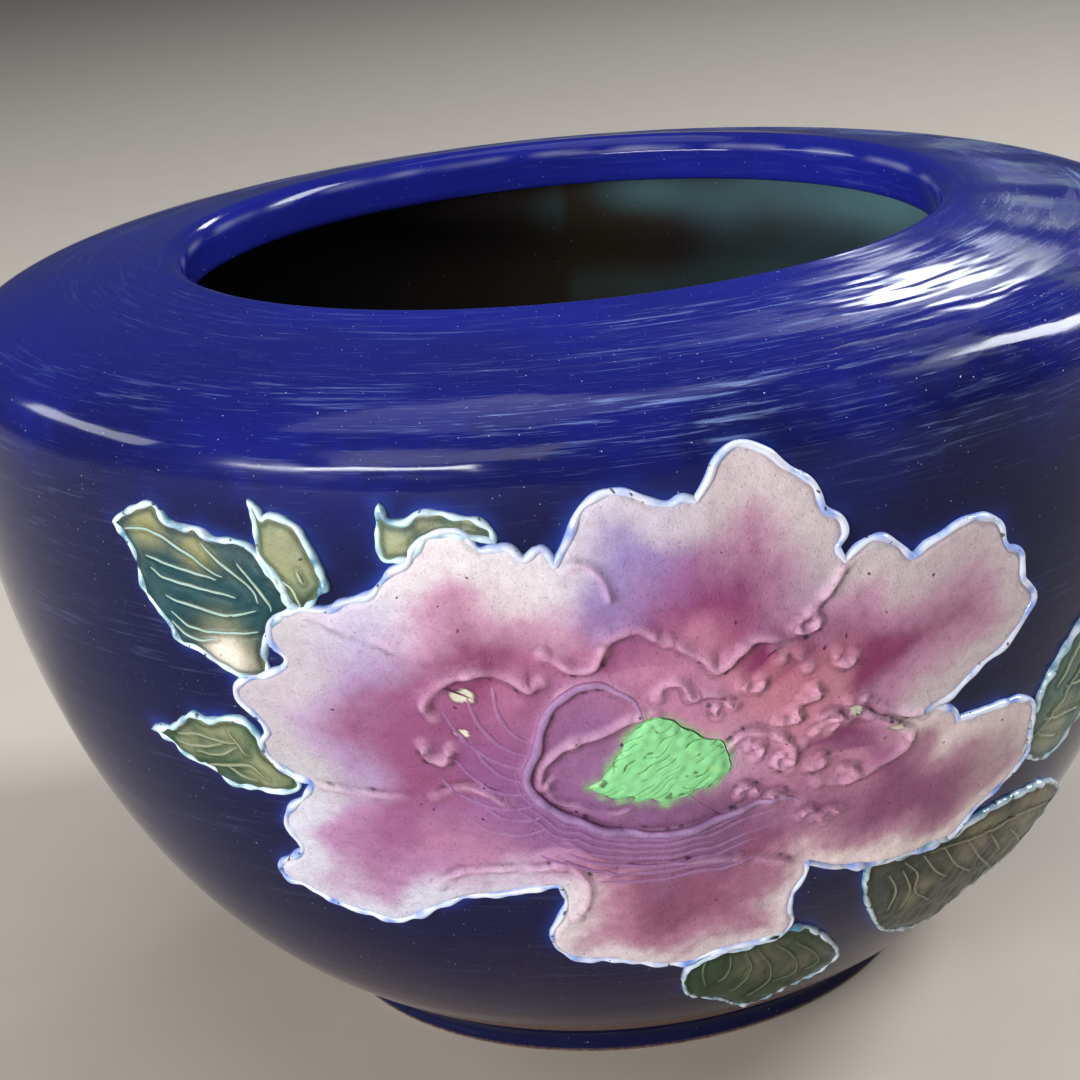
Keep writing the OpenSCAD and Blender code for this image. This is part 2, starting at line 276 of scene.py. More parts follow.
class Wire:  # a node's output that adds Math nodes when it is used in a sum
    def __init__(self, finish, socket):
        self.finish, self.socket = finish, socket

    def maths(self, operation, a, b):
        return self.finish.node("Math", {"operation": operation}, {0: a, 1: b})

    def __add__(self, other):
        return self.maths("ADD", self, other)

    def __sub__(self, other):
        return self.maths("SUBTRACT", self, other)

    def __rsub__(self, other):
        return self.maths("SUBTRACT", other, self)

    def __mul__(self, other):
        return self.maths("MULTIPLY", self, other)

    __radd__, __rmul__ = __add__, __mul__

    def between(self, low, high):  # 0 below low and 1 above high, smooth between
        return self.finish.node("MapRange", {"interpolation_type": "SMOOTHSTEP"},
                                {"Value": self, "From Min": low, "From Max": high})


class Finish:  # one material: constants sit on the shader, what varies is linked to it
    def __init__(self, name, constants):
        self.material = bpy.data.materials.new(name)
        self.material.use_nodes = True
        self.tree = self.material.node_tree
        self.shader = self.tree.nodes["Principled BSDF"]
        for socket, value in constants.items():
            self.shader.inputs[socket].default_value = value

    def node(self, kind, settings, values, out=0):
        node = self.tree.nodes.new("ShaderNode" + kind)
        for key, value in settings.items():
            setattr(node, key, value)
        for key, value in values.items():
            if isinstance(value, Wire):
                self.tree.links.new(value.socket, node.inputs[key])
            else:
                node.inputs[key].default_value = value
        return Wire(self, node.outputs[out])

    def field(self, name, out="Fac"):
        return self.node("Attribute", {"attribute_name": name}, {}, out)

    def place(self):  # where a point is on the object, in metres
        return self.node("TexCoord", {}, {}, "Object")

    def noise(self, where, scale, detail=2.0, roughness=0.5, warp=0.0):
        return self.node("TexNoise", {}, {"Vector": where, "Scale": scale, "Detail": detail,
                                          "Roughness": roughness, "Distortion": warp})

    def mix(self, share, a, b, how="MIX"):
        return self.node("Mix", {"data_type": "RGBA", "blend_type": how}, {0: share, 6: a, 7: b}, 2)

    def bump(self, height, strength, distance):
        return self.node("Bump", {}, {"Height": height, "Strength": strength, "Distance": distance})

    def give(self, **wires):
        for socket, wire in wires.items():
            self.tree.links.new(wire.socket, self.shader.inputs[socket.replace("_", " ")])
        return self.material


# The scratch colour is pale blue for worn glaze and also for painted highlight streaks
glaze = {"scratchAndHighlightColour": (0.30, 0.42, 0.78, 1), "speckColour": (0.62, 0.68, 0.78, 1),
         "bloomColour": (0.10, 0.15, 0.17, 1), "smooth": 0.09, "scratched": 0.20,
         "specular": 0.15, "clayDark": (0.10, 0.055, 0.035, 1), "clayPale": (0.30, 0.19, 0.12, 1)}


def cobaltFinish():  # deep gloss cobalt: fine scratches run round the pot, painted pale blue both as wear and as painted highlight streaks, with specks of dust
    f = Finish("cobaltGlaze", {"IOR": 1.5, "Specular IOR Level": glaze["specular"]})
    climb, wearAndHighlight, bloom = f.field("climb"), f.field("wearAndHighlight"), f.field("bloom")
    apart = f.node("SeparateXYZ", {}, {"Vector": f.place()})
    x, y = apart, Wire(f, apart.socket.node.outputs[1])

    def around(across, up):
        return f.node("CombineXYZ", {}, {0: x * across, 1: y * across, 2: climb * up})

    patches = f.noise(around(9, 55), 1.0, 3.0).between(0.44, 0.66)
    streaks = f.noise(around(42, 800), 1.0, 4.0, 0.62, 0.4).between(0.52, 0.70)
    hairs = f.noise(around(70, 2600), 1.0, 3.0, 0.6, 0.8).between(0.58, 0.74)
    scratchAndHighlight = (streaks * patches + hairs * 0.45) * wearAndHighlight
    specks = f.noise(f.place(), 1250.0, 2.0).between(0.735, 0.775)
    cloud = f.noise(f.place(), 16.0, 3.0)
    colour = f.mix(cloud.between(0.3, 0.7) * 0.3, f.field("tint", "Color"), (0.006, 0.006, 0.03, 1))
    # The scratches are painted pale blue: partly worn glaze, partly painted highlight streaks standing
    # for reflections on the shoulder
    colour = f.mix(scratchAndHighlight * 0.6, colour, glaze["scratchAndHighlightColour"])
    colour = f.mix(bloom * f.noise(f.place(), 70.0, 5.0, 0.7).between(0.38, 0.68) * 0.7, colour,
                   glaze["bloomColour"])
    colour = f.mix(specks * (0.35 + wearAndHighlight * 0.5), colour, glaze["speckColour"])
    hazy = f.noise(around(15, 95), 1.0, 4.0, 0.6).between(0.50, 0.60) * wearAndHighlight
    rough = glaze["smooth"] + hazy * 0.24 + scratchAndHighlight * (glaze["scratched"] - glaze["smooth"])
    rough = rough + bloom * 0.3 + specks * 0.2
    clay, grit = f.field("clay"), f.noise(f.place(), 900.0, 4.0, 0.7)
    bare = f.mix(grit.between(0.35, 0.65), glaze["clayDark"], glaze["clayPale"])
    colour = f.mix(clay, colour, bare)
    waves = f.noise(around(11, 60), 1.0, 3.0, 0.5) * (0.15 + wearAndHighlight) + grit * clay * 0.3
    return f.give(Base_Color=colour, Roughness=rough + clay * 0.6, Normal=f.bump(waves, 0.6, 0.0024))


def petalFinish(name, rough, grain, pitSize):  # slip under clear glaze: grain, darker dots, black pits
    f = Finish(name, {"IOR": 1.45, "Specular IOR Level": 0.28})
    fine = f.noise(f.place(), 2400.0, 4.0, 0.75)
    soft = f.noise(f.place(), 420.0, 4.0, 0.65)
    dots = f.noise(f.place(), 1150.0, 1.0).between(0.62, 0.72)
    shade = 1.0 + (fine - 0.5) * grain + (soft - 0.5) * 0.3 - dots * 0.10
    grey = f.node("CombineColor", {}, {0: shade, 1: shade - dots * 0.08, 2: shade - dots * 0.03})
    colour = f.mix(1.0, f.field("tint", "Color"), grey, "MULTIPLY")
    pits = f.noise(f.place(), pitSize, 1.0).between(0.765, 0.785)
    colour = f.mix(pits * 0.85, colour, (0.03, 0.012, 0.02, 1))
    bumps = fine * 0.5 + soft * 0.9 - pits * 1.5 - dots * 0.25
    return f.give(Base_Color=colour, Roughness=rough + (soft - 0.5) * 0.3,
                  Normal=f.bump(bumps, 0.55, 0.0005))


def beadFinish():  # thick glossy slip, pale blue to white, crazed in places
    f = Finish("beadSlip", {"IOR": 1.5, "Specular IOR Level": 0.5})
    patchy = f.noise(f.place(), 180.0, 3.0, 0.6)
    crack = f.noise(f.place(), 520.0, 0.0).between(0.765, 0.79)
    colour = f.mix(patchy.between(0.35, 0.65) * 0.6, f.field("tint", "Color"), (0.66, 0.73, 0.84, 1))
    colour = f.mix(crack * 0.85, colour, (0.02, 0.02, 0.03, 1))
    return f.give(Base_Color=colour, Roughness=0.16 + (patchy - 0.5) * 0.2,
                  Normal=f.bump(patchy - crack, 0.3, 0.0005))


def eyeFinish():  # combed green slip: the threads run up to the right, with dark pools between
    f = Finish("eyeGlaze", {"IOR": 1.45, "Specular IOR Level": 0.35})
    comb = f.field("comb")
    fine = f.noise(f.place(), 900.0, 3.0, 0.7)
    colour = f.mix(comb.between(0.15, 0.75), (0.08, 0.24, 0.05, 1), (0.21, 0.56, 0.24, 1))
    colour = f.mix(fine.between(0.5, 0.72) * 0.4, colour, (0.34, 0.72, 0.38, 1))
    broad = f.noise(f.place(), 130.0, 3.0, 0.6)
    colour = f.mix(broad.between(0.5, 0.66) * 0.55, colour, (0.33, 0.60, 0.16, 1))
    pits = f.noise(f.place(), 300.0, 1.0).between(0.70, 0.74)
    colour = f.mix(pits * 0.8, colour, (0.06, 0.12, 0.03, 1))
    return f.give(Base_Color=colour, Roughness=0.42 + (fine - 0.5) * 0.2,
                  Normal=f.bump(fine, 0.2, 0.0003))


finishes = {"cobalt": cobaltFinish(), "petal": petalFinish("petalGlaze", 0.28, 0.8, 420.0),
            "leaf": petalFinish("leafGlaze", 0.20, 0.8, 330.0), "bead": beadFinish(), "eye": eyeFinish()}
print("finishes made")

petals = {"beadWidth": 2.0, "beadHeight": 1.45, "plate": 1.3, "ringRadius": 30.8, "rowStep": 0.62}
petalEdges = [  # free edges, clockwise
    [(-8, 201), (-4, 208), (-1, 214), (4, 217), (9, 217), (15, 214), (19, 213), (22, 214), (25, 213)],
    [(25, 213), (28, 217), (31, 222), (36, 224.5), (42, 222), (46, 218), (50, 215), (53, 212), (55, 206),
     (59, 203), (60, 199), (58, 196), (60, 192)],
    [(60, 192), (64, 195), (69, 196), (74, 193), (78, 189), (82, 191), (86, 192), (92, 194), (98, 194),
     (104, 191), (107, 184), (112, 181), (113, 174), (118, 168), (116, 163), (112, 158), (108, 155),
     (100, 152), (93, 147), (84, 145)],
    [(84, 145), (90, 144), (95, 141), (97, 138), (103, 138.5), (112, 138), (120, 136), (126, 133),
     (128, 127), (129, 120), (130, 115), (126, 111), (119, 106), (112, 102), (108, 96), (99, 94),
     (87, 95), (76, 96), (64, 99), (54, 104)],
    [(54, 104), (54, 99), (51, 93), (51, 86), (53, 80), (50, 74), (44, 73), (37, 73), (27, 72), (20, 69),
     (11, 70), (-2, 74), (-14, 76), (-20, 81), (-21, 88), (-18, 94), (-15, 101), (-16, 108)],
    [(-16, 108), (-22, 107), (-34, 105), (-43, 104), (-53, 99), (-60, 95), (-68, 92), (-77, 94),
     (-84, 95), (-90, 98), (-95, 101), (-101, 103), (-101, 108), (-95, 112), (-90, 116), (-91, 121),
     (-92, 125), (-89, 130), (-84, 134)],
    [(-84, 134), (-79, 140), (-83, 142), (-87, 144), (-90, 147), (-91, 151), (-88, 155), (-90, 159),
     (-94, 163), (-94, 167), (-90, 170), (-84, 172), (-79, 174), (-77, 177), (-80, 181), (-80, 185),
     (-78, 188), (-70, 191)],
    [(-70, 191), (-63, 191), (-59, 193), (-52, 195), (-49, 198), (-46, 201), (-42, 203), (-40, 207),
     (-36, 210), (-31, 211), (-28, 210), (-25, 206), (-22, 206), (-18, 206), (-15, 203), (-12, 205),
     (-10, 205), (-8, 201)]]
# Each leaf has two edges from its tip to its base and its veins. The khaki and cream spots are
# given as x, y and radius.
leaves = [
    {"edges": [[(-123, 208), (-120, 210), (-116, 212), (-110, 214), (-107, 212), (-105, 210), (-100, 209),
                (-96, 209), (-92, 207), (-86, 207), (-82, 206), (-79, 203), (-77, 199), (-74, 195),
                (-73, 191), (-78, 187), (-81, 183), (-83, 178), (-83, 172)],
               [(-123, 208), (-121, 206), (-118, 202), (-117, 198), (-117, 193), (-115, 189), (-112, 185),
                (-110, 182), (-108, 178), (-103, 177), (-98, 174), (-91, 171), (-83, 172)]],
     "veins": [[(-119, 207), (-113, 208), (-107, 207), (-101, 204), (-97, 202), (-93, 199), (-90, 198)],
               [(-113, 201), (-108, 200), (-102, 199), (-96, 198), (-92, 197)],
               [(-112, 198), (-108, 196), (-102, 195), (-94, 194), (-87, 193)],
               [(-109, 191), (-105, 190), (-98, 189), (-90, 188), (-82, 190)],
               [(-108, 187), (-104, 184), (-100, 183), (-94, 183), (-83, 184)],
               [(-109, 184), (-105, 181), (-101, 180), (-96, 181)],
               [(-95, 206), (-90, 202), (-86, 199), (-82, 195), (-81, 192)],
               [(-85, 202), (-82, 198), (-80, 195), (-78, 192), (-78, 190)],
               [(-79, 203), (-76, 200), (-74, 195), (-73, 191)]],
     "green": (0.010, 0.055, 0.066), "khaki": (0.22, 0.22, 0.10),
     "khakiAt": [(-112, 210, 6), (-97, 204, 5), (-92, 177, 8)], "creamAt": [(-93, 176, 7)],
     "vein": (0.38, 0.56, 0.52), "bead": (0.52, 0.70, 0.72)},
    {"edges": [[(-80, 217), (-78, 215), (-77, 213), (-75, 214), (-71, 213), (-68, 211), (-66, 207),
                (-64, 202), (-63, 197), (-64, 196), (-69, 191), (-71, 191)],
               [(-80, 217), (-79, 213), (-79, 208), (-79, 204), (-76, 200), (-74, 196), (-74, 193),
                (-71, 191)]],
     "veins": [[(-74, 198), (-71, 196), (-70, 193), (-70, 191)], [(-69, 201), (-68, 198)]],
     "green": (0.06, 0.12, 0.07), "khaki": (0.26, 0.27, 0.15),
     "khakiAt": [(-71, 206, 10)], "creamAt": [],
     "vein": (0.42, 0.52, 0.38), "bead": (0.52, 0.70, 0.72)},
    {"edges": [[(-47, 217), (-46, 214), (-44, 213), (-41, 213), (-38, 215), (-33, 215), (-30, 214),
                (-25, 213), (-22, 211), (-21, 208)],
               [(-47, 217), (-48, 210), (-48, 206), (-47, 204), (-44, 204), (-40, 205), (-37, 209),
                (-33, 210), (-28, 209.5), (-21, 208)]],
     "veins": [[(-40, 212.5), (-39, 209), (-40, 206)], [(-38, 210), (-34, 212), (-29, 212.5)]],
     "green": (0.07, 0.14, 0.10), "khaki": (0.26, 0.27, 0.16),
     "khakiAt": [(-44, 208, 5), (-36, 213, 4), (-27, 211, 4)], "creamAt": [],
     "bead": (0.52, 0.70, 0.72)},
    {"edges": [[(-130, 148), (-122, 150), (-117, 153), (-112, 156), (-107, 155), (-100, 157), (-95, 157),
                (-92, 154), (-91, 151), (-91, 148), (-88, 145), (-83, 142)],
               [(-130, 148), (-124, 146), (-121, 143), (-116, 141), (-111, 140), (-106, 136), (-99, 136),
                (-91, 136), (-84, 138), (-83, 142)]],
     "veins": [[(-120, 149), (-112, 151), (-104, 150), (-99, 150)],
               [(-121, 147), (-114, 147), (-104, 149)],
               [(-114, 145), (-105, 146), (-99, 149)], [(-100, 154), (-98, 150), (-96, 147)],
               [(-112, 141), (-103, 143), (-96, 144), (-92, 140)], [(-104, 142), (-99, 140), (-96, 139)]],
     "green": (0.035, 0.075, 0.04), "khaki": (0.22, 0.24, 0.13),
     "khakiAt": [(-103, 153, 7), (-92, 141, 7), (-116, 149, 4)], "creamAt": [],
     "vein": (0.28, 0.30, 0.19), "bead": (0.52, 0.70, 0.72)},
    {"edges": [[(19, 58), (20, 64), (23, 67), (31, 71), (39, 71), (47, 75), (57, 75), (64, 70), (74, 59),
                (79, 51)],
               [(19, 58), (22, 48), (35, 40), (46, 29), (55, 29), (62, 36), (69, 40), (76, 44),
                (79, 51)]],
     "veins": [[(34, 69), (34, 61), (31, 56)], [(39, 69), (42, 61), (40, 51), (36, 48)],
               [(43, 70), (49, 60), (51, 49), (45, 40)], [(49, 71), (57, 62), (61, 51), (53, 48)],
               [(56, 70), (65, 61), (69, 54), (65, 50)], [(26, 69), (25, 63), (27, 54)]],
     "green": (0.018, 0.042, 0.018), "khaki": (0.085, 0.085, 0.045),
     "khakiAt": [(45, 62, 9), (62, 58, 7)], "creamAt": [],
     "vein": (0.11, 0.15, 0.10), "bead": (0.35, 0.45, 0.50)},
    {"edges": [[(76, 92), (76, 95), (82, 96), (88, 94), (99, 95), (109, 94), (114, 97), (127, 98),
                (138, 97), (156, 93), (177, 81)],
               [(76, 92), (77, 86), (82, 75), (94, 59), (109, 51), (125, 47), (134, 54), (147, 59),
                (165, 60), (177, 81)]],
     "veins": [[(89, 92), (96, 85), (99, 76), (110, 67)], [(96, 92), (104, 83), (113, 76)],
               [(104, 92), (114, 81), (128, 71)], [(114, 91), (127, 78), (145, 64)],
               [(127, 87), (142, 73)], [(140, 83), (160, 68)], [(84, 89), (89, 81), (90, 71)],
               [(89, 89), (96, 78), (96, 69)], [(99, 92), (109, 91), (127, 89), (144, 88), (168, 80)]],
     "green": (0.030, 0.040, 0.028), "khaki": (0.16, 0.145, 0.085),
     "khakiAt": [(150, 88, 14), (120, 90, 10), (100, 75, 6)], "creamAt": [],
     "vein": (0.22, 0.23, 0.16), "bead": (0.30, 0.36, 0.36)},
    {"edges": [[(129, 131), (130, 135), (133, 140), (138, 146), (149, 156), (162, 162), (172, 152)],
               [(129, 131), (127, 126), (130, 120), (128, 116), (139, 109), (147, 109), (154, 114),
                (164, 126), (171, 140), (172, 152)]],
     "veins": [[(131, 119), (136, 124), (141, 130), (147, 137), (158, 148)],
               [(133, 125), (142, 123), (151, 122)],
               [(133, 120), (143, 116)], [(141, 132), (152, 132), (163, 134)],
               [(136, 134), (140, 142), (147, 150)]],
     "green": (0.07, 0.13, 0.11), "khaki": (0.25, 0.28, 0.18),
     "khakiAt": [(140, 120, 8), (152, 146, 8)], "creamAt": [],
     "vein": (0.31, 0.34, 0.24), "bead": (0.30, 0.42, 0.42)}]
leafForm = {"plate": 1.1, "pillow": 0.7, "beadWidth": 1.8, "beadHeight": 1.3, "veinWidth": 0.95,
            "veinHeight": 0.55, "rowStep": 0.45, "columns": 56, "cream": (0.60, 0.54, 0.46),
            "beadLow": (0.06, 0.20, 0.30)}


def leafOutline(leaf):  # out along the upper edge and back along the lower one
    upper, lower = (smoothLine(edge, 6) for edge in leaf["edges"])
    return np.vstack([upper, lower[-2:0:-1]])


# The wall's glaze is read off how far up the wall a point is, and pales close to the decoration. Up the
# shoulder and over the lip it grows lighter and bluer: painted light from above.
# The rings have a section every frontStep degrees in front and every backStep behind.
wallTints = [(-1, (0.004, 0.005, 0.028)), (0.5, (0.12, 0.07, 0.042)), (5, (0.090, 0.052, 0.034)),
             (10, (0.034, 0.019, 0.028)), (34, (0.020, 0.012, 0.032)), (90, (0.007, 0.006, 0.034)),
             (150, (0.005, 0.006, 0.036)), (190, (0.005, 0.006, 0.038)), (208, (0.006, 0.007, 0.048)),
             (224, (0.007, 0.009, 0.085)), (240, (0.009, 0.012, 0.15)), (300, (0.009, 0.013, 0.19))]
body = {"frontHalf": 78, "frontStep": 0.42, "backStep": 1.5, "haloColour": (0.015, 0.04, 0.27),
        "haloWidth": 2.2, "insideDark": (0.040, 0.030, 0.022), "insideTeal": (0.10, 0.20, 0.215),
        "crownLineColour": (0.24, 0.25, 0.40)}
half = body["frontHalf"]
ringAngles = np.radians(np.concatenate([np.arange(-half, half, body["frontStep"]),
                                        np.arange(half, 360 - half, body["backStep"])]))


def ringFields(climb, inside, clay):
    # x runs round from the front, and each section point has its climb, in millimetres
    turn = (ringAngles + np.pi) % (2 * np.pi) - np.pi
    x, y = (np.ascontiguousarray(v) for v in
            np.broadcast_arrays(turn[:, None] * pot["bellyRadius"], np.asarray(climb)[None]))
    inside = np.broadcast_to(np.asarray(inside, float), x.shape)
    stops = [stop for stop, _ in wallTints]
    drift = y + 5 * ripple(x, y, 60, 3) * rise(y, 4, 50) + 1.5 * ripple(x, y, 9, 4)
    tint = np.stack([np.interp(drift, stops, [c[i] for _, c in wallTints]) for i in range(3)], -1)
    near = (np.abs(x) < 195) & (y > 15) & (y < 240) & (inside < 0.5)
    gap = np.full(x.shape, 99.0)
    px, py = x[near], y[near]
    best = np.full(px.shape, 99.0)
    for line in petalEdges + [leafOutline(leaf)[::3] for leaf in leaves]:
        best = np.minimum(best, nearTo(px, py, np.asarray(line, float))[0])
    gap[near] = best
    halo = np.exp(-(gap / body["haloWidth"]) ** 1.3) * (0.62 + 0.3 * ripple(x, y, 22, 5))
    tint = blend(tint, body["haloColour"], np.clip(halo, 0, 1))
    bands = rise(np.sin(turn[:, None]) + 0.12 * np.sin(y / 5) + 0.1 * ripple(x, y, 50, 8), -0.05, 0.95)
    tint = blend(tint, blend(body["insideDark"], body["insideTeal"], bands), inside)
    shoulderHere = rise(y, 208, 238) * rise(crownRun + 6 - y, 4, 30)
    # Wear on the shoulder, heavier to the right, which also sets where the painted highlight streaks go
    wearAndHighlight = shoulderHere * (0.5 + 0.5 * np.sin(turn[:, None] * 1.5 + 0.3)) + 0.10
    bloom = shoulderHere * rise(np.sin(turn[:, None] - 0.5), 0.1, 0.9) * (0.6 + 0.4 * ripple(x, y, 45, 9))
    keep = 1 - inside
    # A thin pale line along the lip's crown
    crownLine = np.exp(-((y - crownRun - 7) / 0.8) ** 2) * (0.3 + 0.25 * ripple(x, y, 30, 10)) * keep
    tint = blend(tint, body["crownLineColour"], np.clip(crownLine, 0, 0.5))
    fields = {"tint": tint, "climb": y * mm, "wearAndHighlight": np.clip(wearAndHighlight, 0, 1) * keep,
              "bloom": np.clip(bloom, 0, 1) * keep,
              "clay": np.broadcast_to(np.asarray(clay, float), x.shape)}
    return {key: v.reshape(-1, 3) if key == "tint" else v.ravel() for key, v in fields.items()}


def addRing(name, section, climb, inside, clay):
    # A closed section of radius and height turned about the axis: (r sin a, -r cos a, z)
    a, r, z = ringAngles[:, None], section[None, :, 0], section[None, :, 1]
    points = np.stack(np.broadcast_arrays(r * np.sin(a), -r * np.cos(a), z), -1) * mm
    buildPiece(name, points, gridQuads(len(ringAngles), len(section), True, True), [],
               finishes["cobalt"], ringFields(climb, inside, clay))


def shell(curve, outerRows, innerRows):
    # One curve out and the same curve back, moved in by the wall's thickness along its normal
    out = curve(np.linspace(0, 1, outerRows))
    back = curve(np.linspace(0, 1, innerRows))
    back = (back - pot["wallThickness"] * outward(back))[::-1]
    return out, back


out, back = shell(wallCurve, 126, 44)
addRing("bowl_wall", np.vstack([out, back]), np.concatenate([runOf(out), back[:, 1]]),
        np.repeat([0, 1], [len(out), len(back)]),
        np.concatenate([0.6 * (1 - rise(runOf(out), 15, 25)), 0 * back[:, 1]]))
out, back = shell(shoulderCurve, 88, 40)
addRing("shoulder", np.vstack([out, back]),
        np.concatenate([bellyRun + runOf(out), back[:, 1]]), np.repeat([0, 1], [len(out), len(back)]), 0)

# The lip rolls over from the crown, hangs inside the mouth and turns back to the shoulder's inside
root = back[0]
turn = np.radians(np.linspace(90, 180, 18))
roll = np.stack([pot["crownRadius"] + pot["lipRound"] * np.cos(turn),
                 pot["potHeight"] - pot["lipRound"] * (1 - np.sin(turn))], -1)
low, mouth = pot["potHeight"] - pot["lipDepth"], pot["crownRadius"] - pot["lipRound"]
hang = np.array([roll[-1], (mouth, low + 2), (mouth + 0.5, low + 0.6), (mouth + 1.5, low),
                 (mouth + pot["lipEdge"], low + 1)])
lipSection = np.vstack([roll, evenly(hang, 16)[1:], root - (0.4, 0), root])
addRing("lip", lipSection, crownRun + runOf(lipSection), 0, 0)

drain, high = pot["drainRadius"], pot["footHeight"]
rim = wallCurve([0.0])[0] - pot["wallThickness"] * outward(wallCurve([0, 0.001]))[0]
floorSection = np.vstack([(drain + 1, high), (pot["rootRadius"], high),
                          evenly(np.array([rim, (drain + 3, rim[1])]), 30), (drain + 1, rim[1] - 0.6),
                          (drain, rim[1] - 2), (drain, high + 1)])
addRing("floor_disc", floorSection, floorSection[:, 1], 1, 0.15)

inner, foot = pot["footRadius"] - pot["footWidth"], pot["footRadius"]
footCorners = np.array([(inner, 1), (inner + 0.3, 0.3), (inner + 1, 0), (foot - 1.5, 0),
                        (foot - 0.4, 0.5), (foot, 1.5), (foot - 0.4, high / 2),
                        (foot + 0.6, high * 0.75), (pot["rootRadius"], high), (inner, high)])
footSection = evenly(footCorners, 60)
footClay = rise(-footSection[:, 1], -1.7, -0.5) + (footSection[:, 0] < inner + 0.5)
addRing("foot_ring", footSection, footSection[:, 1] - 20, 0, np.clip(footClay, 0, 1))
print("pot body made")


# Folds of slip. Each has a crest that falls slowly outwards and steeply towards the heart.
folds = [  # knots, height, outer width, inner width
    ([(-41, 163), (-42, 167), (-40, 170), (-36, 173), (-31, 175), (-26, 175), (-21, 173), (-17, 170),
      (-14, 172)], 1.7, 3.2, 0.8),
    ([(-13, 179), (-10, 176), (-5, 174), (-1, 175), (1, 179), (4, 182), (9, 183), (13, 181), (16, 180)],
     1.8, 3.0, 0.8),
    ([(16, 180), (20, 177), (24, 174), (27, 170), (30, 171), (34, 175), (38, 177), (43, 175), (47, 171),
      (50, 167)], 1.8, 3.0, 0.8),
    ([(13, 165), (15, 168), (19, 168), (21, 164), (25, 164), (28, 163), (31, 160)], 1.3, 2.0, 0.7),
    ([(49, 145), (53, 149), (58, 151), (64, 151), (70, 148), (76, 144), (80, 140), (78, 136), (73, 133),
      (67, 131), (60, 130), (54, 132)], 1.4, 2.6, 0.8),
    ([(29, 147), (33, 151), (38, 151), (43, 149), (47, 144), (46, 138)], 1.2, 1.8, 0.7),
    ([(-45, 155), (-44, 151), (-40, 150), (-38, 154)], 1.4, 1.8, 0.8),
    ([(-45, 139), (-38, 142), (-31, 141), (-26, 137)], 0.9, 1.8, 0.8),
    ([(9, 160), (7, 165), (3, 168), (-1, 170), (-7, 169), (-12, 165), (-15, 160), (-17, 153), (-20, 147),
      (-20, 142), (-17, 137), (-12, 132), (-7, 130), (-2, 127), (7, 125), (17, 125), (28, 127),
      (36, 129), (44, 130), (50, 127)], 0.9, 2.2, 0.9),
    ([(12, 160), (6, 159), (-1, 156), (-8, 154), (-13, 151), (-16, 147), (-17, 142)], 1.3, 1.6, 0.6),
    ([(-12, 145), (-15, 143), (-15, 139), (-13, 136), (-8, 135), (-1, 132), (7, 134)], 0.6, 1.0, 0.7),
    ([(-50, 109), (-43, 114), (-32, 115), (-21, 115), (-15, 116), (-10, 113), (-8, 108), (-9, 101),
      (-13, 95)], 0.8, 2.0, 0.8),
    ([(-7, 200), (-2, 201), (1, 199), (3, 196), (4, 190)], 0.6, 1.2, 0.7),
    ([(60, 192), (58, 188), (55, 185), (52, 182), (47, 179)], 0.8, 1.6, 0.8),
    ([(-8, 108), (1, 112), (17, 113), (34, 112), (49, 106), (53, 103)], 0.7, 1.6, 0.8),
    ([(84, 145), (76, 147), (70, 150), (66, 155)], 0.9, 1.4, 0.8),
    ([(-79, 141), (-70, 140), (-60, 139), (-50, 139)], 0.7, 1.6, 0.8),
    ([(-70, 191), (-62, 187), (-54, 184), (-46, 180)], 0.4, 1.6, 1.0)]
windingFold = folds[8][0]  # the one that winds round the curl and on under the eye
# Millimetres, and degrees anticlockwise round the heart from the right; a hook's turn is in radians
hooks = {"rings": 4, "nearest": 25, "apart": 9, "sweep": (-26, 46), "size": (2.6, 3.9),
         "height": (0.8, 1.3), "turn": 3.6}
whiskers = {"count": 8, "start": 158, "step": 7, "from": 32, "length": 15, "bend": -15}


def hook(middle, size, turn):  # a curl of slip: an arc whose radius shrinks as it turns
    t = np.linspace(0, 1, 6)
    reach = size * (1 - 0.4 * t)
    angle = turn + hooks["turn"] * t
    return np.stack([middle[0] + reach * np.cos(angle), middle[1] + 0.8 * reach * np.sin(angle)], -1)


def fromHeart(far, degrees):
    angle = np.radians(degrees)
    return heart + np.stack([far * np.cos(angle), far * np.sin(angle)], -1)


# Hooks stand on rings round the heart, one more on each ring, each a little out of place
draw = np.random.default_rng(70)
for ring in range(hooks["rings"]):
    for degrees in np.linspace(*hooks["sweep"], 3 + ring):
        middle = fromHeart(hooks["nearest"] + hooks["apart"] * ring + draw.uniform(-2, 2),
                           degrees + draw.uniform(-5, 5))
        curl = hook(middle, draw.uniform(*hooks["size"]), draw.uniform(0, 2 * np.pi))
        folds.append((curl, draw.uniform(*hooks["height"]), 1.2, 0.6))
# Each higher fold has a small rounded knob at its ends and middle: x, y, radius, height
knobs = [(*knots[k], 1.9, 0.6 * high) for knots, high, _, _ in folds if high > 0.75
         for k in (0, len(knots) // 2, -1)]
combs = [  # how far outside the ridge a thread runs, and its ends along the ridge, 0 to 1
    (2.6, 0.36, 0.93), (4.6, 0.42, 0.99), (6.8, 0.40, 0.80), (9.2, 0.47, 0.97), (11.8, 0.55, 0.88),
    (14.5, 0.50, 0.84), (17.5, 0.60, 0.92)]
